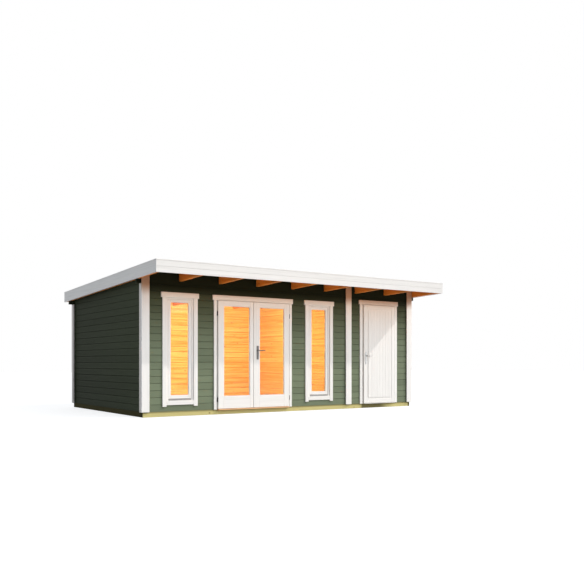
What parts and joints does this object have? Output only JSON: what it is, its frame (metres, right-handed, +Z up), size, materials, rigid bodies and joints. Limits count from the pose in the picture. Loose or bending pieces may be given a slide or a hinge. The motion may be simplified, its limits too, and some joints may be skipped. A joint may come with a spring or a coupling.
{
  "type": "garden house",
  "caption": "Log-board garden house with a single-pitch roof, glazed double door, narrow side windows and a store room with its own door.",
  "frame": {"origin": "on the ground, under the middle of the roof", "axes": "+X along the front to the right as seen from outside, +Y to the back, +Z up"},
  "size_m": [6.324, 4.69, 2.552],
  "materials": {
    "green_boards": "satin opaque stain",
    "white_timber": "satin opaque paint",
    "bare_pine": "planed and clear",
    "base_timber": "pressure treated",
    "roof_felt": "matt",
    "window_glass": "clear float",
    "dark_fittings": "satin",
    "light_fittings": "satin anodised"
  },
  "bodies": {
    "house": {"foundation_beams": "base_timber", "floor_joists": "base_timber", "floor_boards": "bare_pine", "side_walls": "green_boards", "back_wall": "green_boards", "partition_wall": "bare_pine", "front_wall_left": "green_boards", "front_wall_over_doors": "green_boards", "front_wall_middle": "green_boards", "front_wall_right": "green_boards", "front_top_log": "green_boards", "back_top_log": "green_boards", "rafters": "bare_pine", "roof_boards": "bare_pine", "roof_felt": "roof_felt", "front_fascia": "white_timber", "side_fascias": "white_timber", "back_fascia": "white_timber", "edge_strips": "white_timber", "front_cover_boards": "white_timber", "side_cover_boards": "white_timber", "back_cover_boards": "white_timber", "window_frames": "white_timber", "window_sashes": "white_timber", "window_panes": "window_glass", "window_casings": "white_timber", "double_door_frame": "white_timber", "double_door_casing": "white_timber", "store_door_frame": "white_timber", "store_door_casing": "white_timber", "frame_hinges": "dark_fittings"},
    "left_leaf": {"left_leaf": "white_timber", "left_leaf_pane": "window_glass", "left_leaf_hinges": "dark_fittings"},
    "right_leaf": {"right_leaf": "white_timber", "right_leaf_pane": "window_glass", "right_leaf_hinges": "dark_fittings", "right_leaf_plates": "dark_fittings"},
    "right_lever": {"right_leaf_lever": "dark_fittings"},
    "store_leaf": {"store_leaf": "white_timber", "store_leaf_boards": "white_timber", "store_leaf_hinges": "light_fittings", "store_leaf_plates": "light_fittings"},
    "store_lever": {"store_leaf_lever": "light_fittings"}
  },
  "joints": [
    {"name": "left_leaf_swing", "type": "hinge", "parent": "house", "child": "left_leaf", "pos_m": [-1.6315, -1.532, 0.088], "axis": [0, 0, -1], "range_deg": [0, 110]},
    {"name": "right_leaf_swing", "type": "hinge", "parent": "house", "child": "right_leaf", "pos_m": [-0.0945, -1.532, 0.088], "axis": [0, 0, 1], "range_deg": [0, 110]},
    {"name": "store_leaf_swing", "type": "hinge", "parent": "house", "child": "store_leaf", "pos_m": [2.5725, -1.532, 0.088], "axis": [0, 0, 1], "range_deg": [0, 110]},
    {"name": "right_lever_turn", "type": "hinge", "parent": "right_leaf", "child": "right_lever", "pos_m": [-0.806, -1.524, 1.146], "axis": [0, 1, 0], "range_deg": [0, 40], "stiffness_Nm_per_rad": 3, "springref_deg": -20.05},
    {"name": "store_lever_turn", "type": "hinge", "parent": "store_leaf", "child": "store_lever", "pos_m": [1.782, -1.524, 1.06], "axis": [0, 1, 0], "range_deg": [0, 40], "stiffness_Nm_per_rad": 3, "springref_deg": -20.05}
  ]
}
